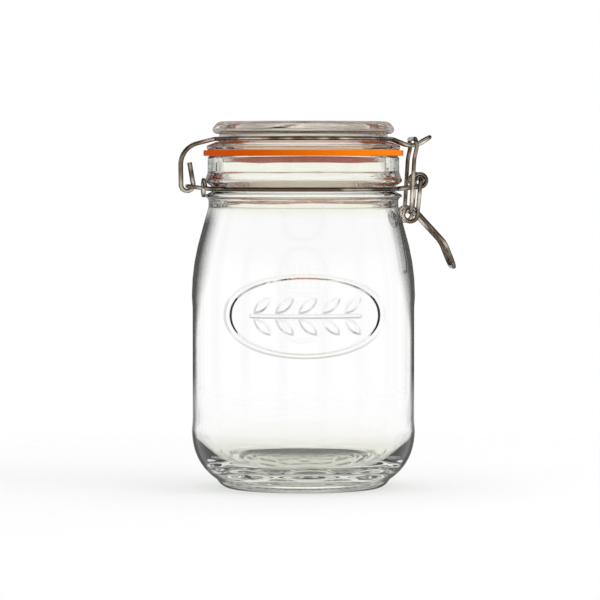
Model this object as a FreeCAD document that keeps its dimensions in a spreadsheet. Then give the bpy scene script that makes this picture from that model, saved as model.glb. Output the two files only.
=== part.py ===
"""Clip-top storage jar, empty and closed.

A one-litre glass jar with a glass lid, a flat rubber seal and a clasp of bent round wire.
Origin: the jar's axis on the plane it stands on. +Z is up, +X points to the clasp, -X to the
hinge. Lengths are in millimetres and every size is a named cell of the sheet "Sizes".
"""

import FreeCAD, Part
import math
import os
import re

import Sketcher

V = FreeCAD.Vector

doc = FreeCAD.newDocument("ClipTopJar")

# ---------------------------------------------------------------- sizes

SIZES = {
    # jar, outside; a drop is a distance below the mouth, an inset one inside the body's radius
    "jar_height": 158.9,
    "body_radius": 53.5,
    "foot_inset": 17.0,
    "foot_width": 4.0,
    "foot_round": 7.5,
    "punt_rise": 3.0,
    "punt_flat_radius": 17.0,
    "punt_round": 44.0,
    "heel_step_inset": 11.5,
    "heel_step_height": 4.3,
    "heel_step_depth": 0.7,
    "heel_round": 25.0,
    "heel_height": 19.8,
    "heel_inset": 0.9,
    "heel_blend": 36.0,
    "body_start": 27.0,
    "body_end_drop": 66.9,
    "label_recess": 0.35,
    "label_ramp": 6.0,
    "shoulder_inset": 2.9,
    "shoulder_drop": 42.9,
    "shoulder_round": 101.0,
    # neck, outside; a swell or a dip is measured from the collar's radius
    "neck_inset": 8.0,
    "collar_drop": 24.2,
    "collar_height": 2.9,
    "bead_swell": 1.8,
    "bead_drop": 19.6,
    "bead_under_round": 2.6,
    "bead_round": 1.3,
    "bead_top_inset": 0.9,
    "bead_top_rise": 1.4,
    "groove_dip": 1.75,
    "groove_drop": 15.9,
    "groove_play": 0.3,
    "flare_swell": 1.7,
    "flare_drop": 12.9,
    "flare_height": 2.2,
    "flare_base_inset": 0.6,
    "flare_top_inset": 0.3,
    "flare_round": 1.5,
    "mouth_swell": 0.4,
    "mouth_drop": 7.9,
    "mouth_round": 1.4,
    # jar, inside
    "body_wall": 3.2,
    "mouth_wall": 4.9,
    "neck_inner_drop": 19.4,
    "neck_inner_round": 9.0,
    "wall_shift": 0.8,
    "shoulder_wall": 3.2,
    "inner_heel_height": 27.5,
    "inner_heel_round": 20.5,
    "floor_inset": 20.5,
    "floor_edge_height": 8.6,
    "floor_centre_rise": 1.0,
    # seal
    "seal_thickness": 2.7,
    "seal_overhang": 2.0,
    "seal_inset": 0.6,
    # lid
    "lid_height": 13.7,
    "flange_seat_swell": 0.1,
    "flange_swell": 0.6,
    "flange_edge": 1.6,
    "flange_shoulder": 2.3,
    "flange_shoulder_inset": 0.4,
    "flange_slope_width": 4.6,
    "flange_rise": 4.2,
    "flange_slope_drop": 0.3,
    "lid_neck_inset": 6.2,
    "lid_groove_width": 3.6,
    "disc_inset": 3.0,
    "disc_under_round": 2.2,
    "disc_top_inset": 3.9,
    "disc_top_round": 5.5,
    "recess_inset": 6.1,
    "recess_depth": 0.7,
    "rim_depth": 6.2,
    "rim_clearance": 0.5,
    "rim_taper": 1.7,
    "rim_round": 0.8,
    "rim_width": 1.8,
    "hollow_taper": 2.0,
    "hollow_round": 4.0,
    "hollow_height": 9.2,
    # wire, its running gaps and its bends
    "wire_diameter": 2.0,
    "seat_gap": 0.1,
    "pin_gap": 0.25,
    "side_gap": 0.3,
    "coil_gap": 0.2,
    "bend_radius": 2.2,
    "tight_bend": 1.54,
    "groove_bend": 3.0,
    "cut_length": 0.3,
    # neck wire: hinge bracket, end eye and ears; a reach is measured out from the neck ring
    "bar_reach": 10.65,
    "bar_lift": 1.4,
    "bracket_half": 8.0,
    "eye_reach": 3.55,
    "eye_bore": 5.3,
    "eye_turn": 300.0,
    "tail_start_turn": 150.0,
    "tail_knee_reach": 0.9,
    "tail_knee_aside": 6.2,
    "ear_half": 9.9,
    "ear_reach": 10.35,
    "ear_lift": 4.2,
    "ear_bore": 3.9,
    "ear_turn": 390.0,
    # lid wire: hooks under the hinge bar and nose over the clasp
    "lid_wire_lift": 1.2,
    "hook_half": 4.0,
    "hook_bore": 4.3,
    "hook_bend": 2.9,
    "tail_height": 13.6,
    "tail_lean": 2.3,
    "hinge_leg_lean": 0.3,
    "hinge_leg_drop": 4.2,
    "hinge_leg_bend": 10.5,
    "nose_half": 5.0,
    "nose_bend": 4.0,
    "nose_reach": 19.3,
    "nose_lift": 0.9,
    "saddle_reach": 11.2,
    "saddle_drop": 4.15,
    "saddle_bend": 9.5,
    # lever, measured from the ear and from the coil
    "coil_inset": 4.9,
    "coil_drop": 16.3,
    "coil_bore": 4.66,
    "knee_reach": 16.9,
    "knee_drop": 13.5,
    "knee_bend": 14.0,
    "handle_reach": 4.7,
    "handle_drop": 11.7,
    "handle_bend": 4.5,
    # link, measured from the saddle of the lid wire
    "link_bar_lift": 4.2,
    "link_bar_inset": 0.2,
    "link_kink_reach": 0.5,
    "link_kink_drop": 3.5,
    "link_kink_bend": 4.0,
    "link_waist_inset": 0.8,
    "link_waist_drop": 9.6,
    "link_waist_bend": 20.0,
}

sheet = doc.addObject("Spreadsheet::Sheet", "Sizes")
for row, (alias, value) in enumerate(SIZES.items(), start=1):
    sheet.set(f"A{row}", alias)
    sheet.set(f"B{row}", str(value))
    sheet.setAlias(f"B{row}", alias)
doc.recompute()


def size(alias):
    """The present value of one named size."""
    return float(sheet.get(alias))


def bound(formula):
    """A formula on named sizes, written for setExpression."""
    return re.sub(r"[a-z]+(?:_[a-z]+)+", lambda word: "Sizes." + word.group(0), formula)


def value_of(formula):
    """The number that a formula on named sizes gives now."""
    return float(sheet.evalExpression(bound(formula)))


# ---------------------------------------------------------------- turned pieces


def sketch_arc(start, end, radius, side):
    """The short arc of a given radius between two points, its centre on the left of the way
    from start to end when side is 1 and on the right when it is -1. It runs anticlockwise,
    so it ends at start when side is -1."""
    chord = end - start
    aside = V(-chord.y, chord.x, 0).normalize() * side
    centre = (start + end) * 0.5 + aside * math.sqrt(radius**2 - (chord.Length / 2) ** 2)
    first, last = (start, end) if side == 1 else (end, start)
    angles = [math.atan2(point.y - centre.y, point.x - centre.x) for point in (first, last)]
    return Part.ArcOfCircle(Part.Circle(centre, V(0, 0, 1), radius), *angles)


def turned_piece(label, outline):
    """A body turned about Z. Each outline row is a point, as two formulas for its radius and
    height, and the stretch that leads on from it: None for a line, or (radius formula, side)
    for an arc."""
    body = doc.addObject("PartDesign::Body", label)
    body.Label = label
    plane = next(item for item in body.Origin.OriginFeatures if item.Role == "XZ_Plane")
    sketch = body.newObject("Sketcher::SketchObject", label + "_profile")
    sketch.AttachmentSupport = (plane, [""])
    sketch.MapMode = "FlatFace"

    points = [V(value_of(radius), value_of(height), 0) for radius, height, _ in outline]
    starts = []
    for index, (_, _, stretch) in enumerate(outline):
        start = points[index]
        end = points[(index + 1) % len(points)]
        if stretch is None:
            sketch.addGeometry(Part.LineSegment(start, end), False)
            starts.append(1)
        else:
            radius, side = stretch
            sketch.addGeometry(sketch_arc(start, end, value_of(radius), side), False)
            starts.append(1 if side == 1 else 2)

    for index, (radius, height, stretch) in enumerate(outline):
        following = (index + 1) % len(outline)
        leaving = 3 - starts[index]
        sketch.addConstraint(
            Sketcher.Constraint("Coincident", index, leaving, following, starts[following])
        )
        if stretch is not None:
            number = sketch.addConstraint(
                Sketcher.Constraint("Radius", index, value_of(stretch[0]))
            )
            sketch.setExpression(f"Constraints[{number}]", bound(stretch[0]))
        for kind, formula, axis in (("DistanceX", radius, -2), ("DistanceY", height, -1)):
            if formula == "0":
                sketch.addConstraint(
                    Sketcher.Constraint("PointOnObject", index, starts[index], axis)
                )
                continue
            number = sketch.addConstraint(
                Sketcher.Constraint(kind, -1, 1, index, starts[index], value_of(formula))
            )
            sketch.setExpression(f"Constraints[{number}]", bound(formula))

    turn = body.newObject("PartDesign::Revolution", label + "_turn")
    turn.Profile = sketch
    turn.ReferenceAxis = (sketch, ["V_Axis"])
    turn.Angle = 360.0
    sketch.Visibility = False
    doc.recompute()
    return body


FOOT_OUTER = "(body_radius - foot_inset)"
HEEL_STEP = "(body_radius - heel_step_inset)"
PANEL = "(body_radius - label_recess)"
BODY_END = "(jar_height - body_end_drop)"
SHOULDER = "(body_radius - shoulder_inset)"
SHOULDER_HEIGHT = "(jar_height - shoulder_drop)"
COLLAR = "(body_radius - neck_inset)"
COLLAR_BASE = "(jar_height - collar_drop)"
BEAD = f"({COLLAR} + bead_swell)"
BEAD_HEIGHT = "(jar_height - bead_drop)"
GROOVE = f"({COLLAR} - groove_dip)"
GROOVE_HEIGHT = "(jar_height - groove_drop)"
GROOVE_HALF = "(wire_diameter + groove_play) / 2"
FLARE = f"({COLLAR} + flare_swell)"
FLARE_BASE = "(jar_height - flare_drop)"
MOUTH = f"({COLLAR} + mouth_swell)"
MOUTH_INNER = f"({MOUTH} - mouth_wall)"
INNER_BODY = "(body_radius - body_wall)"

turned_piece(
    "jar_glass",
    [
        # underside and foot
        ("0", "punt_rise", None),
        ("punt_flat_radius", "punt_rise", ("punt_round", -1)),
        (f"{FOOT_OUTER} - foot_width", "0", None),
        (FOOT_OUTER, "0", ("foot_round", 1)),
        (f"{HEEL_STEP} - heel_step_depth", "heel_step_height - heel_step_depth", None),
        (HEEL_STEP, "heel_step_height", ("heel_round", 1)),
        ("body_radius - heel_inset", "heel_height", ("heel_blend", 1)),
        # body, with its shallow label recess, and shoulder
        ("body_radius", "body_start", None),
        (PANEL, "body_start + label_ramp", None),
        (PANEL, f"{BODY_END} - label_ramp", None),
        ("body_radius", BODY_END, ("shoulder_round", 1)),
        (SHOULDER, SHOULDER_HEIGHT, None),
        (COLLAR, COLLAR_BASE, None),
        # collar, bead, wire groove, flare and mouth
        (COLLAR, f"{COLLAR_BASE} + collar_height", ("bead_under_round", -1)),
        (BEAD, BEAD_HEIGHT, ("bead_round", 1)),
        (f"{BEAD} - bead_top_inset", f"{BEAD_HEIGHT} + bead_top_rise", None),
        (GROOVE, f"{GROOVE_HEIGHT} - {GROOVE_HALF}", None),
        (GROOVE, f"{GROOVE_HEIGHT} + {GROOVE_HALF}", None),
        (f"{FLARE} - flare_base_inset", FLARE_BASE, ("flare_round", 1)),
        (f"{FLARE} - flare_top_inset", f"{FLARE_BASE} + flare_height", None),
        (MOUTH, "jar_height - mouth_drop", None),
        (MOUTH, "jar_height - mouth_round", ("mouth_round", 1)),
        (f"{MOUTH} - mouth_round", "jar_height", None),
        # inside, from the mouth down
        (f"{MOUTH_INNER} + mouth_round", "jar_height", ("mouth_round", 1)),
        (MOUTH_INNER, "jar_height - mouth_round", None),
        (MOUTH_INNER, "jar_height - neck_inner_drop", ("neck_inner_round", 1)),
        (f"{COLLAR} - shoulder_wall", f"{COLLAR_BASE} - wall_shift", None),
        (
            f"{SHOULDER} - shoulder_wall",
            f"{SHOULDER_HEIGHT} - wall_shift",
            ("shoulder_round - shoulder_wall", -1),
        ),
        (INNER_BODY, BODY_END, None),
        (INNER_BODY, "inner_heel_height", ("inner_heel_round", -1)),
        ("body_radius - floor_inset", "floor_edge_height", None),
        ("punt_flat_radius", "floor_edge_height + floor_centre_rise", None),
        ("0", "floor_edge_height + floor_centre_rise", None),
    ],
)

SEAL_TOP = "(jar_height + seal_thickness)"

turned_piece(
    "seal",
    [
        (f"{MOUTH_INNER} + seal_inset", "jar_height", None),
        (f"{MOUTH} + seal_overhang", "jar_height", None),
        (f"{MOUTH} + seal_overhang", SEAL_TOP, None),
        (f"{MOUTH_INNER} + seal_inset", SEAL_TOP, None),
    ],
)

LID_TOP = f"({SEAL_TOP} + lid_height)"
FLANGE = f"({MOUTH} + flange_swell)"
FLANGE_TOP = f"({SEAL_TOP} + flange_rise)"
LID_NECK = f"({FLANGE} - lid_neck_inset)"
DISC = f"({FLANGE} - disc_inset)"
DISC_BASE = f"({FLANGE_TOP} + lid_groove_width)"
RECESS = f"({DISC} - recess_inset)"
RIM_TOP = f"({MOUTH_INNER} - rim_clearance)"
RIM_BASE = f"({SEAL_TOP} - rim_depth)"
HOLLOW_MOUTH = f"({RIM_TOP} - rim_taper - rim_round - rim_width)"
HOLLOW = f"({HOLLOW_MOUTH} - hollow_taper)"
HOLLOW_TOP = f"({SEAL_TOP} + hollow_height)"

turned_piece(
    "lid_glass",
    [
        # hollow underside, and the tapered rim that centres the lid in the mouth
        ("0", HOLLOW_TOP, None),
        (f"{HOLLOW} - hollow_round", HOLLOW_TOP, ("hollow_round", -1)),
        (HOLLOW, f"{HOLLOW_TOP} - hollow_round", None),
        (HOLLOW_MOUTH, RIM_BASE, None),
        (f"{RIM_TOP} - rim_taper - rim_round", RIM_BASE, ("rim_round", 1)),
        (f"{RIM_TOP} - rim_taper", f"{RIM_BASE} + rim_round", None),
        (RIM_TOP, SEAL_TOP, None),
        # flange, wire groove and disc
        (f"{MOUTH} + flange_seat_swell", SEAL_TOP, None),
        (FLANGE, f"{SEAL_TOP} + flange_edge", None),
        (f"{FLANGE} - flange_shoulder_inset", f"{SEAL_TOP} + flange_shoulder", None),
        (f"{FLANGE} - flange_slope_width", f"{FLANGE_TOP} - flange_slope_drop", None),
        (LID_NECK, FLANGE_TOP, None),
        (LID_NECK, DISC_BASE, None),
        (f"{DISC} - disc_under_round", DISC_BASE, ("disc_under_round", 1)),
        (DISC, f"{DISC_BASE} + disc_under_round", ("disc_top_round", 1)),
        (f"{DISC} - disc_top_inset", LID_TOP, None),
        # top, with its shallow round recess
        (RECESS, LID_TOP, None),
        (f"{RECESS} - recess_depth", f"{LID_TOP} - recess_depth", None),
        ("0", f"{LID_TOP} - recess_depth", None),
    ],
)

# ---------------------------------------------------------------- bent wire

WIRE = size("wire_diameter")
RING_STEP = 20.0  # degrees between the corners of a ring in a groove
LONGEST_TURN = 66.0  # degrees between the corners of a coil
FULL_BEND = 0.98  # share of a ring's radius that its corners are rounded with


def bent_path(corners):
    """A wire line through corners, each a point and its bend radius: straight runs joined by
    arcs that are tangent to them. The radii of the two ends are not used."""
    points = [point for point, _ in corners]
    edges = []
    here = points[0]
    for index in range(1, len(points) - 1):
        corner, radius = corners[index]
        back = (points[index - 1] - corner).normalize()
        ahead = (points[index + 1] - corner).normalize()
        half = back.getAngle(ahead) / 2
        middle = (back + ahead).normalize()
        centre = corner + middle * (radius / math.sin(half))
        arc_start = corner + back * (radius / math.tan(half))
        arc_end = corner + ahead * (radius / math.tan(half))
        edges.append(Part.makeLine(here, arc_start))
        edges.append(Part.Arc(arc_start, centre - middle * radius, arc_end).toShape())
        here = arc_end
    edges.append(Part.makeLine(here, points[-1]))
    return Part.Wire(edges)


def bent_wire(label, corners):
    """A round wire swept along a bent path."""
    path = doc.addObject("Part::Feature", label + "_path")
    path.Shape = bent_path(corners)
    section = doc.addObject("Part::Circle", label + "_section")
    section.setExpression("Radius", "Sizes.wire_diameter / 2")
    heading = corners[1][0] - corners[0][0]
    section.Placement = FreeCAD.Placement(
        corners[0][0], FreeCAD.Rotation(V(0, 0, 1), heading)
    )
    wire = doc.addObject("Part::Sweep", label)
    wire.Label = label
    wire.Sections = [section]
    wire.Spine = (path, [f"Edge{number + 1}" for number in range(len(path.Shape.Edges))])
    wire.Solid = True
    wire.Frenet = False
    wire.Transition = "Transformed"
    path.Visibility = False
    return wire


def mirrored(near_half):
    """The corners of a whole wire from those of its near half, which ends at mid-width."""
    far_half = [(V(point.x, -point.y, point.z), bend) for point, bend in reversed(near_half)]
    return near_half + far_half


def turns(centre, across, up, radius, start, angle, drift):
    """Corners that wind a wire round a centre, from one angle through another in degrees, in
    the plane of two directions, while it drifts sideways by a vector."""
    count = math.ceil(abs(angle) / LONGEST_TURN)
    step = math.radians(angle / count)
    reach = radius / math.cos(step / 2)
    corners = []
    for index in range(count):
        turn = math.radians(start) + step * (index + 0.5)
        place = centre + across * (reach * math.cos(turn)) + up * (reach * math.sin(turn))
        corners.append((place + drift * (index / (count - 1)), radius * FULL_BEND))
    return corners


def groove_half(radius, height, hinge_half, clasp_half):
    """Corners of the near half of a ring lying in a groove, from the clasp side to the hinge
    side, with the corner where it leaves the groove at each end."""
    lean = math.radians(RING_STEP)
    bend = size("groove_bend")
    leave_clasp = (radius - clasp_half * math.sin(lean)) / math.cos(lean)
    leave_hinge = (radius - hinge_half * math.sin(lean)) / math.cos(lean)
    corners = [(V(leave_clasp, -clasp_half, height), bend)]
    reach = radius / math.cos(lean / 2)
    for index in range(round(180 / RING_STEP) - 2):
        turn = -lean * (index + 1.5)
        place = V(reach * math.cos(turn), reach * math.sin(turn), height)
        corners.append((place, radius * FULL_BEND))
    corners.append((V(-leave_hinge, -hinge_half, height), bend))
    return corners


def tangent_heading(start, centre, radius, side):
    """The direction, in degrees, of the line from a point that touches a circle, which lies on
    its left when side is 1. Points are (across, up) pairs."""
    across, up = centre[0] - start[0], centre[1] - start[1]
    offset = math.asin(radius / math.hypot(across, up))
    return math.degrees(math.atan2(up, across) - side * offset)


def coil_end(centre, across, up, radius, turn, onward):
    """The point a cut length past the end of a coil at a turn in degrees, on the way that
    onward, 1 or -1, says."""
    angle = math.radians(turn)
    cut = size("cut_length") * onward
    return (
        centre
        + across * (radius * math.cos(angle) - cut * math.sin(angle))
        + up * (radius * math.sin(angle) + cut * math.cos(angle))
    )


ACROSS, ASIDE, UP = V(1, 0, 0), V(0, 1, 0), V(0, 0, 1)
COIL_STEP = WIRE + size("coil_gap")  # sideways, from one turn of a coil to the next

# Neck wire: an ear at each end, a ring in the neck groove and the bracket of the lid hinge.

neck_ring_radius = value_of(GROOVE) + WIRE / 2 + size("seat_gap")
neck_ring_height = value_of(GROOVE_HEIGHT)
ear_half = size("ear_half")
ear_centre = V(
    neck_ring_radius + size("ear_reach"), -ear_half, neck_ring_height + size("ear_lift")
)
ear_radius = (size("ear_bore") + WIRE) / 2
ear_drift = ASIDE * (COIL_STEP * size("ear_turn") / 360)
ear = turns(ear_centre, ACROSS, UP, ear_radius, -90, size("ear_turn"), ear_drift)
ear_end = coil_end(ear_centre + ear_drift, ACROSS, UP, ear_radius, size("ear_turn") - 90, 1)
bracket_half = size("bracket_half")
neck_ring = groove_half(neck_ring_radius, neck_ring_height, bracket_half, ear_half)
bar_x = -neck_ring_radius - size("bar_reach")
bar_height = neck_ring_height + size("bar_lift")
bar_corner = V(bar_x, -bracket_half, bar_height)
neck_half = [(ear_end, None)] + ear[::-1] + neck_ring + [(bar_corner, size("bend_radius"))]
neck_run = bent_wire("neck_wire_run", mirrored(neck_half))

# The loose end of the ring winds round the near leg of the bracket as an eye. It parts from
# the ring a little above the ring's own centre line.
eye_x = -neck_ring_radius - size("eye_reach")
eye_centre = V(eye_x, -bracket_half, (neck_ring_height + bar_height) / 2)
eye_radius = (size("eye_bore") + WIRE) / 2
tail_turn = -math.radians(size("tail_start_turn"))
tail_start = V(
    neck_ring_radius * math.cos(tail_turn),
    neck_ring_radius * math.sin(tail_turn),
    neck_ring_height + WIRE / 6,
)
tail_knee = V(
    eye_x + size("tail_knee_reach"), -bracket_half - size("tail_knee_aside"), tail_start.z
)
tail_heading = tangent_heading(
    (tail_knee.y, tail_knee.z), (eye_centre.y, eye_centre.z), eye_radius, -1
)
eye_start = tail_heading + 90
eye_turn = size("eye_turn")
eye = turns(eye_centre, ASIDE, UP, eye_radius, eye_start, -eye_turn, V())
eye_end = coil_end(eye_centre, ASIDE, UP, eye_radius, eye_start - eye_turn, -1)
neck_eye = bent_wire(
    "neck_wire_eye",
    [(tail_start, None), (tail_knee, size("bend_radius"))] + eye + [(eye_end, None)],
)
neck_wire = doc.addObject("Part::MultiFuse", "neck_wire")
neck_wire.Label = "neck_wire"
neck_wire.Shapes = [neck_run, neck_eye]

# Lid wire: two hooks under the hinge bar, a ring in the lid groove and the nose.

hook_half = size("hook_half")
hook_radius = (size("hook_bore") + WIRE) / 2
hook_base = bar_height - WIRE - size("pin_gap")
lid_ring_radius = value_of(LID_NECK) + WIRE / 2 + size("seat_gap")
lid_ring_height = value_of(FLANGE_TOP) + size("lid_wire_lift")
hook = [
    (
        V(bar_x + hook_radius - size("tail_lean"), -hook_half, hook_base + size("tail_height")),
        None,
    ),
    (V(bar_x + hook_radius, -hook_half, hook_base), size("hook_bend")),
    (V(bar_x - hook_radius, -hook_half, hook_base), size("hook_bend")),
    (
        V(
            bar_x - hook_radius - size("hinge_leg_lean"),
            -hook_half,
            lid_ring_height - size("hinge_leg_drop"),
        ),
        size("hinge_leg_bend"),
    ),
]
nose_half = size("nose_half")
saddle = V(
    lid_ring_radius + size("saddle_reach"), -nose_half, lid_ring_height - size("saddle_drop")
)
nose_tip = V(
    lid_ring_radius + size("nose_reach"), -nose_half, lid_ring_height + size("nose_lift")
)
lid_ring = groove_half(lid_ring_radius, lid_ring_height, hook_half, nose_half)
nose = [(saddle, size("saddle_bend")), (nose_tip, size("nose_bend"))]
bent_wire("lid_wire", mirrored(hook + lid_ring[::-1] + nose))

# Lever: pins in the ears, arms down to a coil on each side, and the handle.

arm_half = ear_half + WIRE + size("side_gap")
pivot_height = ear_centre.z + size("ear_bore") / 2 - WIRE / 2 - size("pin_gap")
arm_top = V(ear_centre.x, -arm_half, pivot_height)
coil_centre = V(
    ear_centre.x - size("coil_inset"), -arm_half, ear_centre.z - size("coil_drop")
)
coil_radius = (size("coil_bore") + WIRE) / 2
knee = coil_centre + V(size("knee_reach"), COIL_STEP, -size("knee_drop"))
handle_tip = knee + V(size("handle_reach"), 0, -size("handle_drop"))
arm_heading = tangent_heading(
    (arm_top.x, arm_top.z), (coil_centre.x, coil_centre.z), coil_radius, -1
)
handle_heading = (
    tangent_heading((knee.x, knee.z), (coil_centre.x, coil_centre.z), coil_radius, 1) + 180
)
coil_turn = (handle_heading - arm_heading) % 360 - 360
coil = turns(
    coil_centre, ACROSS, UP, coil_radius, arm_heading + 90, coil_turn, ASIDE * COIL_STEP
)
lever_half = (
    [
        (V(arm_top.x, -ear_half + ear_drift.y + WIRE, arm_top.z), None),
        (arm_top, size("tight_bend")),
    ]
    + coil
    + [(knee, size("knee_bend")), (handle_tip, size("handle_bend"))]
)
bent_wire("lever", mirrored(lever_half))

# Link: pins in the lever's coils, two legs and the bar that lies over the nose.

link_half = arm_half + WIRE + size("side_gap")
link_pin_height = coil_centre.z + size("coil_bore") / 2 - WIRE / 2 - size("pin_gap")
link_bar_height = saddle.z + size("link_bar_lift")
link_near_half = [
    (V(coil_centre.x, -arm_half + COIL_STEP + WIRE, link_pin_height), None),
    (V(coil_centre.x, -link_half, link_pin_height), size("tight_bend")),
    (
        V(
            saddle.x - size("link_waist_inset"),
            -link_half,
            link_bar_height - size("link_waist_drop"),
        ),
        size("link_waist_bend"),
    ),
    (
        V(
            saddle.x + size("link_kink_reach"),
            -link_half,
            link_bar_height - size("link_kink_drop"),
        ),
        size("link_kink_bend"),
    ),
    (
        V(saddle.x - size("link_bar_inset"), -link_half, link_bar_height),
        size("bend_radius"),
    ),
]
bent_wire("link", mirrored(link_near_half))

# ---------------------------------------------------------------- checks and files

NODES = ["jar_glass", "neck_wire", "lid_glass", "seal", "lid_wire", "lever", "link"]

doc.recompute()
for item in doc.Objects:
    if "Invalid" in item.State or "Error" in item.State:
        raise RuntimeError(f"{item.Name} failed: {item.State}")

pieces = {node: doc.getObjectsByLabel(node)[0].Shape for node in NODES}
for node, shape in pieces.items():
    if shape.isNull() or not shape.isValid() or len(shape.Solids) != 1:
        raise RuntimeError(f"{node} is not one valid solid")

os.makedirs("parts", exist_ok=True)
for node, shape in pieces.items():
    shape.exportStep(f"parts/{node}.step")
    print(f"{node}: {shape.Volume / 1000:.2f} cm3")
print(f"lever pivot at {arm_top.x:.3f}, {arm_top.z:.3f}")
print(f"link pivot at {coil_centre.x:.3f}, {link_pin_height:.3f}")
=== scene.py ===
"""Looks of an empty clip-top jar: moulded glass, an orange rubber seal and bent stainless wire."""

import math

import bpy
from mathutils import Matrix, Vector


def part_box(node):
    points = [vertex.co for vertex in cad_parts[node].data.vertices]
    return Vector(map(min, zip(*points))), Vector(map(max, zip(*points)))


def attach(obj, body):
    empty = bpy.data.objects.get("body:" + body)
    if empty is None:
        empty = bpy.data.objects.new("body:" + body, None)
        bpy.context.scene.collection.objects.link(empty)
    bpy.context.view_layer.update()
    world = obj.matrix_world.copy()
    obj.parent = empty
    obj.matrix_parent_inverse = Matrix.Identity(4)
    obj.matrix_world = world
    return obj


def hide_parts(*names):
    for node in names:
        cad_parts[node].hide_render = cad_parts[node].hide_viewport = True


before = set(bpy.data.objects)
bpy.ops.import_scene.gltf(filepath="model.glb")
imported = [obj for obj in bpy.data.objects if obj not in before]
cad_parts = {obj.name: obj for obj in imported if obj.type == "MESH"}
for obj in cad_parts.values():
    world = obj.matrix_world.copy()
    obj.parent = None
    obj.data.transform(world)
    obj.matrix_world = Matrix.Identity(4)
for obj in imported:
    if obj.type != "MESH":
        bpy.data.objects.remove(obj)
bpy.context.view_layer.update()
MM = 0.001


def high(node):
    """The greatest height of a CAD node, in mm."""
    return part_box(node)[1].z / MM


def wide(node):
    """The greatest radius of a turned CAD node, in mm."""
    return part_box(node)[1].x / MM


# ---------------------------------------------------------------- shader values


class Value:
    """An output socket of a shader, which Python's operators act on."""

    def __init__(self, shader, socket):
        self.shader = shader
        self.socket = socket

    def maths(self, operation, *inputs):
        return self.shader.add("ShaderNodeMath", {"operation": operation}, *inputs)

    def __add__(self, other):
        return self.maths("ADD", self, other)

    def __radd__(self, other):
        return self.maths("ADD", other, self)

    def __sub__(self, other):
        return self.maths("SUBTRACT", self, other)

    def __rsub__(self, other):
        return self.maths("SUBTRACT", other, self)

    def __mul__(self, other):
        return self.maths("MULTIPLY", self, other)

    def __truediv__(self, other):
        return self.maths("DIVIDE", self, other)

    def __pow__(self, other):
        return self.maths("POWER", self, other)

    def __abs__(self):
        return self.maths("ABSOLUTE", self)

    def wave(self):
        """The cosine, a wave between -1 and 1."""
        return self.maths("COSINE", self)

    def root(self):
        return self.maths("SQRT", self)

    def cell(self, pitch):
        """The distance from the middle of a repeat of the given pitch."""
        return self.maths("WRAP", self, pitch / 2, -pitch / 2)

    def most(self, other):
        """The greater of two values."""
        return self.maths("MAXIMUM", self, other)

    def ramp(self, start, end):
        """A smooth step from 0 at start to 1 at end."""
        return self.shader.add(
            "ShaderNodeMapRange",
            {"interpolation_type": "SMOOTHSTEP"},
            self,
            start,
            end,
            0.0,
            1.0,
        )

    def within(self, first, last, edge):
        """1 between two limits, with soft edges, and 0 outside."""
        return self.ramp(first - edge, first + edge) * (1 - self.ramp(last - edge, last + edge))


class Shader:
    """The node tree of a material or world."""

    def __init__(self, owner):
        owner.use_nodes = True
        self.tree = owner.node_tree
        self.tree.nodes.clear()
        self.owner = owner

    def add(self, kind, settings, *inputs, output=0, **named):
        """A node of a kind with its settings, its first inputs in order and others by name."""
        node = self.tree.nodes.new(kind)
        for key, value in settings.items():
            setattr(node, key, value)
        pairs = list(enumerate(inputs))
        pairs += [(key.replace("_", " "), value) for key, value in named.items()]
        for key, value in pairs:
            if isinstance(value, Value):
                self.tree.links.new(value.socket, node.inputs[key])
            elif value is not None:
                node.inputs[key].default_value = value
        return Value(self, node.outputs[output]) if node.outputs else None

    def place(self):
        """The object coordinates x, y and z in mm, and as one vector in metres."""
        spot = self.add("ShaderNodeTexCoord", {}, output="Object")
        split = self.add("ShaderNodeSeparateXYZ", {}, spot)
        parts = [Value(self, split.socket.node.outputs[n]) * (1 / MM) for n in range(3)]
        return parts, spot

    def noise(self, spot, scale, detail):
        return self.add("ShaderNodeTexNoise", {}, spot, Scale=scale, Detail=detail)

    def stretched(self, spot, scales):
        """A coordinate scaled by three numbers."""
        return self.add("ShaderNodeVectorMath", {"operation": "MULTIPLY"}, spot, scales)

    def blend(self, amount, first, second):
        """A colour between two colours."""
        mix = self.add("ShaderNodeMix", {"data_type": "RGBA"}, amount)
        node = mix.socket.node
        for slot, colour in ((6, first), (7, second)):
            if isinstance(colour, Value):
                self.tree.links.new(colour.socket, node.inputs[slot])
            else:
                node.inputs[slot].default_value = (*colour, 1.0)
        return Value(self, node.outputs[2])

    def show(self, surface, kind="ShaderNodeOutputMaterial"):
        """Ends the tree in an output node and gives back its material or world."""
        self.add(kind, {}, surface)
        return self.owner


def material(name):
    return Shader(bpy.data.materials.new(name))


# ---------------------------------------------------------------- materials


CLEAR = (0.998, 1.0, 0.998)
OLIVE = (0.93, 0.93, 0.84)
AMBER = (0.95, 0.90, 0.80)
# painted shade tones for the glass where it is seen edge on
OLIVE_PAINTED_EDGE_SHADE = (0.032, 0.034, 0.026)
AMBER_PAINTED_EDGE_SHADE = (0.14, 0.12, 0.095)
# painted reflection of the seal's orange, mixed into the lid's glass
SEAL_PAINTED_REFLECTION = (0.42, 0.058, 0.0)
SHADOW_TONE = (0.9, 0.91, 0.9)
GLASS_IOR = 1.5
NECK_WAVES = (130.0, 140.0)  # heights between which the neck's sideways waves set in, in mm
RIPPLE_DEPTH = 0.05
WAVE_DEPTH = 0.22


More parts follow.
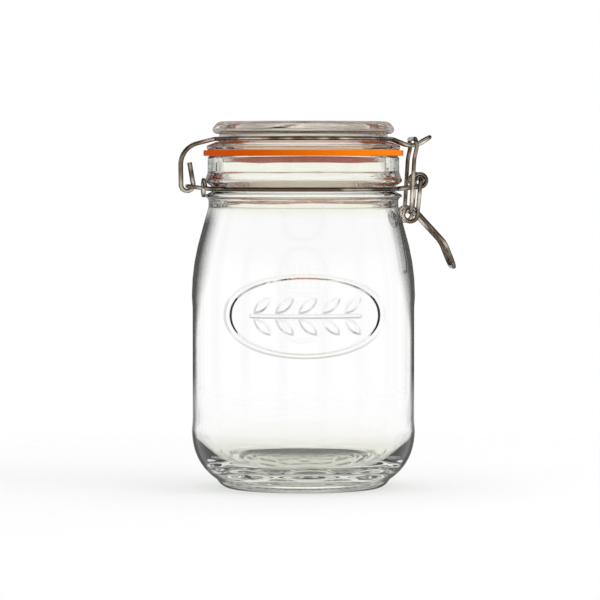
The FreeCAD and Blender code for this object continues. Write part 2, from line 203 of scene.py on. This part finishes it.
def glass(name, thick, relief=None, warm=None, edge=None, painted_seal_reflection=None):
    """Clear moulded glass with soft ripples. relief gives its raised pattern in mm, warm how much
    of the tone thick it takes (all of it without warm), edge how strong the painted shade is where
    it is seen edge on and in which tone, and painted_seal_reflection how much painted reflection
    of the seal's orange it shows."""
    s = material(name)
    parts, spot = s.place()
    height = parts[2]
    facing = s.add("ShaderNodeLayerWeight", {}, 0.5, output="Facing")
    tint = s.blend(warm(height), CLEAR, thick) if warm else (*thick, 1.0)
    ripple = s.noise(s.stretched(spot, (1.0, 1.0, 0.35)), 55.0, detail=1.0)
    streak = s.noise(s.stretched(spot, (0.3, 0.3, 3.0)), 140.0, detail=1.0)
    waves = streak * (height.ramp(*NECK_WAVES) * WAVE_DEPTH)
    raised = ripple * RIPPLE_DEPTH
    if relief:
        raised = relief(s, *parts) + raised
    raised = raised + waves
    normal = s.add("ShaderNodeBump", {}, Strength=1.0, Distance=1.0 * MM, Height=raised)
    body = s.add(
        "ShaderNodeBsdfPrincipled",
        {},
        Base_Color=tint,
        Roughness=0.0,
        IOR=GLASS_IOR,
        Transmission_Weight=1.0,
        Normal=normal,
    )
    if painted_seal_reflection:
        # painted reflection of the seal: an orange diffuse tone mixed in
        orange = s.add("ShaderNodeBsdfDiffuse", {}, (*SEAL_PAINTED_REFLECTION, 1.0))
        body = s.add("ShaderNodeMixShader", {}, painted_seal_reflection(height, facing), body, orange)
    if edge:
        # painted shade: a dark diffuse tone mixed in where the glass is seen edge on
        dark, tone = edge(height, facing)
        dark = dark * (1 - s.add("ShaderNodeNewGeometry", {}, output="Backfacing"))
        outline = s.add("ShaderNodeBsdfDiffuse", {}, (*tone, 1.0))
        body = s.add("ShaderNodeMixShader", {}, dark, body, outline)
    # light for shadows and for diffuse surfaces passes straight through
    path = s.add("ShaderNodeLightPath", {}, output="Is Shadow Ray")
    diffuse = Value(s, path.socket.node.outputs["Is Diffuse Ray"])
    clear = s.add("ShaderNodeBsdfTransparent", {}, (*SHADOW_TONE, 1.0))
    return s.show(s.add("ShaderNodeMixShader", {}, path.most(diffuse), body, clear))


def turn_angle(s, x, y, turn=0.0):
    """The angle round the jar's axis in radians, which is turn at the viewer's side."""
    angle = s.add("ShaderNodeMath", {"operation": "ARCTAN2"}, x, y * -1)
    return angle + turn


def from_axis(x, y):
    """The distance from the jar's axis, in mm."""
    return (x * x + y * y).root()


EMBLEM_RADIUS = 53.5
EMBLEM_TURN = math.radians(3.5)
EMBLEM_HEIGHT = 84.0
EMBLEM_HALF_WIDTH = 42.0
EMBLEM_HALF_HEIGHT = 19.5
EMBLEM_DEPTH = 2.0
BAND_MIDDLE = 0.955  # as a share of the oval
SPRIG_HALF_WIDTH = 27.0
LEAF_PITCH = 11.0
LEAF_LEAN = (0.766, 0.643)  # cosine and sine of the angle between a leaf and the stem
LEAF_FOOT = (4.2, 3.0)
LEAF_DISC_OFFSET = 6.2
LOBES_ROUND = 8


def jar_relief(s, x, y, z):
    """The outside of the jar, in mm: an oval band round a leafy sprig on the front, stipple on the
    foot and lobes under the base."""
    out = from_axis(x, y)
    angle = turn_angle(s, x, y, EMBLEM_TURN)
    across = angle * EMBLEM_RADIUS
    up = z - EMBLEM_HEIGHT
    oval = ((across / EMBLEM_HALF_WIDTH) ** 2 + (up / EMBLEM_HALF_HEIGHT) ** 2).root()
    band = abs(oval - BAND_MIDDLE)
    ring = 1 - (band * EMBLEM_HALF_HEIGHT).ramp(0.4, 1.35)
    # leaves in pairs along a stem, each the meeting of two discs
    along = across.cell(LEAF_PITCH)
    cosine, sine = LEAF_LEAN
    lean_u = along * cosine + abs(up) * sine - LEAF_FOOT[0]
    lean_v = abs(up) * cosine - along * sine - LEAF_FOOT[1]
    upper = (lean_u * lean_u + (lean_v + LEAF_DISC_OFFSET) ** 2).root()
    lower = (lean_u * lean_u + (lean_v - LEAF_DISC_OFFSET) ** 2).root()
    leaf = 1 - upper.most(lower).ramp(7.5, 8.8)
    stem = 1 - abs(up).ramp(0.3, 1.2)
    left_end = (across + SPRIG_HALF_WIDTH).ramp(-0.4, 0.4)
    right_end = 1 - (across - SPRIG_HALF_WIDTH).ramp(0.2, 1.2)
    sprig = leaf.most(stem) * left_end * right_end
    front = 1 - (y + 10).ramp(0.0, 1.0)
    outside = (out - 52.0).ramp(0.0, 0.6)
    emblem = ring.most(sprig) * front * outside
    dots = (angle * 200).wave() * (z * 3.2).wave()
    foot = dots * z.within(-1.0, 2.4, 0.3) * out.within(33.0, 39.5, 0.3)
    lobes = (angle * LOBES_ROUND).wave() * (out * 0.7).wave()
    base = lobes * 0.3 * z.within(-1.0, 3.4, 0.2) * (1 - out.ramp(29.0, 33.0))
    return emblem * EMBLEM_DEPTH + foot * 0.45 + base


def floor_relief(s, x, y, z):
    """Rings and lobes pressed in the jar's floor, in mm."""
    out = from_axis(x, y)
    lobes = (turn_angle(s, x, y) * LOBES_ROUND).wave() * (out * 0.62).wave()
    rings = (out * 1.1).wave()
    return (lobes * 0.5 + rings * 0.28) * (1 - z.ramp(11.0, 14.0))


LID_DOTS_ROUND = 226
LID_DOT_DEPTH = 0.6


def lid_relief(s, x, y, z):
    """Two rings of pressed dots on the lid's disc, in mm."""
    out = from_axis(x, y)
    top = high("lid_glass")
    dots = (turn_angle(s, x, y) * LID_DOTS_ROUND).wave() * 0.5 + 0.5
    upper = z.within(top - 1.3, top + 1.0, 0.2) * out.within(40.0, 43.0, 0.3)
    lower = z.within(top - 6.1, top - 4.6, 0.2) * out.within(41.0, 44.0, 0.3)
    return dots * upper.most(lower) * LID_DOT_DEPTH


def jar_warm(height):
    """How olive the jar looks: its thick neck and foot more than its body."""
    return height.ramp(128.0, 136.0) * 0.6 + (1 - height.ramp(8.0, 28.0)) * 0.9


def jar_painted_edge_shade(height, facing):
    """The painted shade at the jar's edge, wide over the thick shoulder and faint at the neck, and
    its tone.
    """
    shoulder = height.ramp(70.0, 108.0)
    strength = 0.45 + height.ramp(38.0, 58.0) * 0.47 + (1 - height.ramp(24.0, 32.0)) * 0.35
    strength = strength - height.ramp(126.0, 134.0) * 0.42
    dark = facing.ramp(0.69 - shoulder * 0.27, 0.82 - shoulder * 0.06)
    return dark * strength, OLIVE_PAINTED_EDGE_SHADE


def lid_painted_edge_shade(height, facing):
    """The painted shade at the lid's edge, the same at every height, and its tone."""
    return facing.ramp(0.72, 0.95) * 0.6, AMBER_PAINTED_EDGE_SHADE


def lid_painted_seal_reflection(height, facing):
    """A painted reflection of the seal's orange in the lid: a band with narrowed ends on the rim
    inside the neck, and a thin line at the flange's upper corner."""
    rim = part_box("seal")[0].z / MM - 3.4
    corner = high("seal") + 3.3
    band = height.within(rim, rim + 3.9, 0.3) * (1 - facing.ramp(0.48, 0.66)) * 0.92
    return band.most(height.within(corner, corner + 0.9, 0.2) * 0.4)


STEEL_DULL = (0.13, 0.10, 0.07)
# bright tone of random wear, whose patches also act as painted highlights
STEEL_BRIGHT_WEAR_AND_HIGHLIGHT = (0.82, 0.75, 0.64)
# painted shade for the wire's edges
STEEL_PAINTED_EDGE_SHADE = (0.042, 0.032, 0.022)
# the rubber's painted shaded side and painted lit side
RUBBER_PAINTED_SHADE_SIDE = (0.60, 0.075, 0.0)
RUBBER_PAINTED_LIT_SIDE = (0.95, 0.215, 0.004)


def wire_metal():
    """Drawn stainless wire, warm in tone, a little worn in random patches whose bright parts are
    also painted highlights, with painted shade on its edges where they turn from view.
    """
    s = material("wire_steel")
    _, spot = s.place()
    cloud = s.noise(spot, 75.0, detail=2.0)
    grain = s.noise(spot, 500.0, detail=1.0)
    facing = s.add("ShaderNodeLayerWeight", {}, 0.5, output="Facing")
    # random worn tone whose bright patches are also painted highlights
    face_on_wear_and_highlight = s.blend(cloud.ramp(0.42, 0.7), STEEL_DULL, STEEL_BRIGHT_WEAR_AND_HIGHLIGHT)
    # painted shade on the edges that turn away from view, mixed in by Layer Weight facing
    tone = s.blend(facing.ramp(0.12, 0.6), face_on_wear_and_highlight, STEEL_PAINTED_EDGE_SHADE)
    normal = s.add("ShaderNodeBump", {}, Strength=0.05, Distance=0.05 * MM, Height=grain)
    return s.show(
        s.add(
            "ShaderNodeBsdfPrincipled",
            {},
            Base_Color=tone,
            Metallic=1.0,
            Roughness=0.2 + cloud * 0.12,
            Normal=normal,
        )
    )


def seal_rubber():
    """Smooth orange rubber with a soft sheen, with painted light making it lighter and yellower
    towards the clasp and painted shade making it deeper on the other side.
    """
    s = material("seal_rubber")
    (along, _, _), spot = s.place()
    cloud = s.noise(spot, 40.0, detail=2.0)
    grain = s.noise(spot, 900.0, detail=3.0)
    # painted light and shade: lighter towards +x, deeper towards -x, with a little random wobble
    painted_light_share = (along + cloud * 20).ramp(-40.0, 50.0)
    tone = s.blend(painted_light_share, RUBBER_PAINTED_SHADE_SIDE, RUBBER_PAINTED_LIT_SIDE)
    normal = s.add("ShaderNodeBump", {}, Strength=0.3, Distance=0.06 * MM, Height=grain)
    return s.show(
        s.add(
            "ShaderNodeBsdfPrincipled",
            {},
            Base_Color=tone,
            Roughness=0.55 + cloud * 0.14,
            Specular_IOR_Level=0.04,
            Normal=normal,
        )
    )


# ---------------------------------------------------------------- modelling

SPIN_STEPS = 192
ARC_STEP = math.radians(5)
STRAIGHT_ENOUGH = math.radians(9)  # a corner that turns by less than this stays as it is
SHARE_OF_SIDE = 0.42  # the most of a side that the rounding of one corner may take
WELD = 0.01 * MM

def edit_all():
    """Edit mode on the active object with everything selected."""
    bpy.ops.object.mode_set(mode="EDIT")
    bpy.ops.mesh.select_all(action="SELECT")


def arc_points(start, end, radius, side):
    """Points on the short arc between two points, without its start."""
    chord = end - start
    aside = Vector((-chord.y, chord.x)).normalized() * side
    centre = (start + end) / 2 + aside * math.sqrt(radius**2 - (chord.length / 2) ** 2)
    first = start - centre
    sweep = first.angle_signed(end - centre)
    count = max(3, math.ceil(abs(sweep) / ARC_STEP))
    points = []
    for index in range(1, count + 1):
        turned_by = -sweep * index / count
        points.append(
            centre
            + Vector(
                (
                    first.x * math.cos(turned_by) - first.y * math.sin(turned_by),
                    first.x * math.sin(turned_by) + first.y * math.cos(turned_by),
                )
            )
        )
    return points


def softened(points, reach):
    """A line of points whose sharp corners are replaced by small curves."""
    soft = [points[0]]
    for before, here, after in zip(points, points[1:], points[2:]):
        back, ahead = before - here, after - here
        if abs((-back).angle(ahead)) < STRAIGHT_ENOUGH:
            soft.append(here)
            continue
        near = here + back.normalized() * min(reach, SHARE_OF_SIDE * back.length)
        far = here + ahead.normalized() * min(reach, SHARE_OF_SIDE * ahead.length)
        for step in (0.0, 0.25, 0.5, 0.75, 1.0):
            soft.append(near * (1 - step) ** 2 + here * (2 * step * (1 - step)) + far * step**2)
    return soft + [points[-1]]


def turned(name, rows, reach):
    """A solid turned about Z from outline rows of radius, height and the stretch that leads on:
    None for a line or (radius, side) for an arc. Corners are rounded over reach. A plane is
    merged to one point, which is drawn along the outline and spun."""
    corners = [Vector(row[:2]) for row in rows]
    line = [corners[0]]
    for index, row in enumerate(rows[:-1]):
        if row[2] is None:
            line.append(corners[index + 1])
        else:
            line += arc_points(corners[index], corners[index + 1], *row[2])
    line = softened(line, reach)
    bpy.ops.object.select_all(action="DESELECT")
    bpy.ops.mesh.primitive_plane_add(size=0.001)
    piece = bpy.context.object
    piece.name = name
    edit_all()
    bpy.ops.mesh.merge(type="CENTER")
    bpy.ops.transform.translate(value=(line[0].x * MM, 0, line[0].y * MM))
    for before, here in zip(line, line[1:]):
        step = (here - before) * MM
        bpy.ops.mesh.extrude_region_move(TRANSFORM_OT_translate={"value": (step.x, 0, step.y)})
    bpy.ops.mesh.select_all(action="SELECT")
    bpy.ops.mesh.spin(steps=SPIN_STEPS, angle=math.tau, center=(0, 0, 0), axis=(0, 0, 1))
    bpy.ops.mesh.select_all(action="SELECT")
    bpy.ops.mesh.remove_doubles(threshold=WELD)
    bpy.ops.mesh.normals_make_consistent(inside=False)
    bpy.ops.object.mode_set(mode="OBJECT")
    bpy.ops.object.shade_smooth()
    return piece


PANEL_INSET = 0.35
WALL = 3.2
PUNT_FLAT = 17.0
PUNT_RISE = 3.0
FLOOR_TOP = 9.6
COLLAR = 45.5
GROOVE = 43.75
LIP = 45.9
BORE = 41.0
LIP_ROUND = 1.4


def jar_body():
    """The jar's glass, as one closed shell from the middle of its foot to its floor."""
    body, top = wide("jar_glass"), high("jar_glass")
    panel, inner = body - PANEL_INSET, body - WALL
    rows = [
        # punt, foot and heel
        (0.0, PUNT_RISE, None),
        (PUNT_FLAT, PUNT_RISE, (44.0, -1)),
        (32.5, 0.0, None),
        (36.5, 0.0, (7.5, 1)),
        (41.3, 3.6, None),
        (42.0, 4.3, (25.0, 1)),
        (body - 0.9, 19.8, (36.0, 1)),
        # body with its recessed panel, and shoulder
        (body, 27.0, None),
        (panel, 33.0, None),
        (panel, 86.0, None),
        (body, 92.0, (101.0, 1)),
        (body - 2.9, 116.0, None),
        # collar, bead, groove and flare
        (COLLAR, top - 24.2, None),
        (COLLAR, top - 21.3, (2.6, -1)),
        (47.3, top - 19.6, (1.3, 1)),
        (46.4, top - 18.2, None),
        (GROOVE, top - 17.05, None),
        (GROOVE, top - 14.75, None),
        (46.6, top - 12.9, (1.5, 1)),
        (46.9, top - 10.7, None),
        # lip, inside and out
        (LIP, top - 7.9, None),
        (LIP, top - LIP_ROUND, (LIP_ROUND, 1)),
        (LIP - LIP_ROUND, top, None),
        (BORE + LIP_ROUND, top, (LIP_ROUND, 1)),
        (BORE, top - LIP_ROUND, None),
        # inner wall, down to the floor
        (BORE, top - 19.4, (9.0, 1)),
        (42.3, top - 25.0, None),
        (body - 6.1, 115.2, (97.8, -1)),
        (inner, 92.0, None),
        (inner, 27.5, (20.5, -1)),
        (33.0, 8.6, None),
        (PUNT_FLAT, FLOOR_TOP, None),
        (0.0, FLOOR_TOP, None),
    ]
    return turned("jar_glass_clear", rows, reach=0.7)


LID_DISC = 43.5
LID_GROOVE = 40.3
DISH_RIM = 0.7


def lid_body():
    """The lid's glass, from the middle of its hollow to the middle of its top."""
    seat, top = high("seal"), high("lid_glass")
    roof, under = seat + 9.2, seat + 7.8
    rows = [
        # hollow and rim
        (0.0, roof, None),
        (30.2, roof, (4.0, -1)),
        (34.2, seat + 5.2, None),
        (36.2, seat - 6.2, None),
        (38.0, seat - 6.2, (0.8, 1)),
        (38.8, seat - 5.4, None),
        (40.5, seat, None),
        # flange and groove for the wire
        (46.0, seat, None),
        (46.5, seat + 1.6, None),
        (46.1, seat + 2.3, None),
        (41.9, seat + 3.9, None),
        (LID_GROOVE, seat + 4.2, None),
        (LID_GROOVE, under, None),
        # disc and its shallow dish
        (LID_DISC - 2.2, under, (2.2, 1)),
        (LID_DISC, under + 2.2, (5.5, 1)),
        (LID_DISC - 3.9, top, None),
        (37.4, top, None),
        (36.7, top - DISH_RIM, None),
        (0.0, top - DISH_RIM, None),
    ]
    return turned("lid_glass_clear", rows, reach=0.5)


SEAL_BORE = 41.6


def seal_ring():
    """The flat rubber ring, with rounded edges."""
    low, top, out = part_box("seal")[0].z / MM, high("seal"), wide("seal")
    middle = (low + top) / 2
    rows = [
        (SEAL_BORE, middle, None),
        (SEAL_BORE, low, None),
        (out, low, None),
        (out, top, None),
        (SEAL_BORE, top, None),
        (SEAL_BORE, middle, None),
    ]
    return turned("seal_ring", rows, reach=0.45)


# ---------------------------------------------------------------- pieces

jar_looks = (
    glass("jar_clear_glass", OLIVE, jar_relief, jar_warm, jar_painted_edge_shade),
    glass("jar_inner_glass", OLIVE, floor_relief, jar_warm),
)
lid_looks = (
    glass("lid_clear_glass", AMBER, lid_relief, edge=lid_painted_edge_shade, painted_seal_reflection=lid_painted_seal_reflection),
    glass("lid_inner_glass", AMBER),
)
metal = wire_metal()
rubber = seal_rubber()

for made, node, body_name, look, slot in (
    (jar_body(), "jar_glass", "jar", jar_looks, "jar_glass"),
    (lid_body(), "lid_glass", "lid", lid_looks, "lid_glass"),
    (seal_ring(), "seal", "lid", (rubber,), "seal"),
):
    for layer in look:
        made.data.materials.append(layer)
    if len(look) > 1:
        # faces towards the axis take the second look
        for face in made.data.polygons:
            towards_axis = face.normal.x * face.center.x + face.normal.y * face.center.y < 0
            face.material_index = int(towards_axis)
    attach(made, body_name)
    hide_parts(node)

for name in ("neck_wire", "lid_wire", "lever", "link"):
    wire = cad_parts[name]
    bpy.ops.object.select_all(action="DESELECT")
    wire.data.materials.clear()
    wire.data.materials.append(metal)

# ---------------------------------------------------------------- stage, light and camera

FLOOR_RADIUS = 0.6
FLOOR_FADE = (150.0, 420.0)  # distances from the jar over which the floor fades out, in mm

bpy.ops.mesh.primitive_circle_add(vertices=96, radius=FLOOR_RADIUS, fill_type="NGON")
floor = bpy.context.object
floor.name = "floor"
s = material("floor_white")
(floor_x, floor_y, _), _ = s.place()
away = from_axis(floor_x, floor_y)
white = s.add("ShaderNodeBsdfDiffuse", {}, (0.93, 0.93, 0.93, 1.0))
gone = s.add("ShaderNodeBsdfTransparent", {})
floor.data.materials.append(
    s.show(s.add("ShaderNodeMixShader", {}, away.ramp(*FLOOR_FADE), white, gone))
)

CARD_COUNT = 8
CARD_TURN = math.radians(2.5)
DARK_CARD = (0.12, 0.10, 0.075)
WHITE_CARD = (1.0, 1.0, 1.0)
SOFT_GREY = (0.84, 0.84, 0.84, 1.0)
PLAIN_WHITE = (1.0, 1.0, 1.0, 1.0)

world = bpy.data.worlds.new("studio")
bpy.context.scene.world = world
s = Shader(world)
direction = s.add("ShaderNodeTexCoord", {}, output="Generated")
split = s.add("ShaderNodeSeparateXYZ", {}, direction).socket.node
ahead, aside, upwards = (Value(s, split.outputs[n]) for n in (1, 0, 2))
round_angle = s.add("ShaderNodeMath", {"operation": "ARCTAN2"}, aside, ahead)
# white cards all round, with dimmer gaps between them, and darker above them up to the top one
cards_lit = ((round_angle - CARD_TURN) * CARD_COUNT).wave().ramp(-0.9, -0.5) * 0.35 + 0.65
below = 1 - upwards.ramp(0.15, 0.48)
overhead = upwards.ramp(0.8, 0.9)
lit = (cards_lit * (below * 0.52 + 0.48)).most(overhead * 0.8)
bright = (1 - upwards.ramp(0.15, 0.5)).most(overhead * 0.7)
seen = s.add("ShaderNodeLightPath", {}, output="Is Camera Ray")
glossy = Value(s, seen.socket.node.outputs["Is Glossy Ray"])
through = Value(s, seen.socket.node.outputs["Is Transmission Ray"])
soft, mirrored, cards, plain = (
    s.add("ShaderNodeBackground", {}, colour, 1.0)
    for colour in (
        SOFT_GREY,
        s.blend(bright, DARK_CARD, WHITE_CARD),
        s.blend(lit, DARK_CARD, WHITE_CARD),
        PLAIN_WHITE,
    )
)
around = s.add("ShaderNodeMixShader", {}, glossy, soft, mirrored)
around = s.add("ShaderNodeMixShader", {}, through, around, cards)
s.show(s.add("ShaderNodeMixShader", {}, seen, around, plain), "ShaderNodeOutputWorld")


LAMP_TARGET = Vector((0, 0, 0.1))


def lamp(name, spot, size, power):
    """A soft box that lights the jar but is seen in neither its glass nor its metal."""
    bpy.ops.object.light_add(type="AREA", location=spot)
    light = bpy.context.object
    light.name = name
    light.data.shape = "RECTANGLE"
    light.data.size, light.data.size_y = size
    light.data.energy = power
    light.rotation_euler = (LAMP_TARGET - Vector(spot)).to_track_quat("-Z", "Y").to_euler()
    light.visible_transmission = False
    light.visible_glossy = False


lamp("softbox_right", (1.1, -0.5, 0.8), (0.6, 0.9), 4.5)
lamp("softbox_left", (-1.0, -0.6, 0.6), (0.4, 0.9), 0.8)
lamp("softbox_top", (0.0, 0.1, 1.4), (0.8, 0.8), 2.6)

VIEW_TURN = math.radians(4.5)
VIEW_AWAY = 1.75
VIEW_HEIGHT = 0.153
LENS = 219
SENSOR_WIDTH = 36

aim = Vector((-1.65 * MM, 0, 89.8 * MM))
eye = Vector((-VIEW_AWAY * math.sin(VIEW_TURN), -VIEW_AWAY * math.cos(VIEW_TURN), VIEW_HEIGHT))
bpy.ops.object.camera_add(location=eye)
camera = bpy.context.object
camera.name = "camera"
camera.data.lens = LENS
camera.data.sensor_width = SENSOR_WIDTH
camera.rotation_euler = (aim - eye).to_track_quat("-Z", "Y").to_euler()
camera.data.clip_start = 0.05
bpy.context.scene.camera = camera
bpy.context.scene.view_settings.view_transform = "Standard"
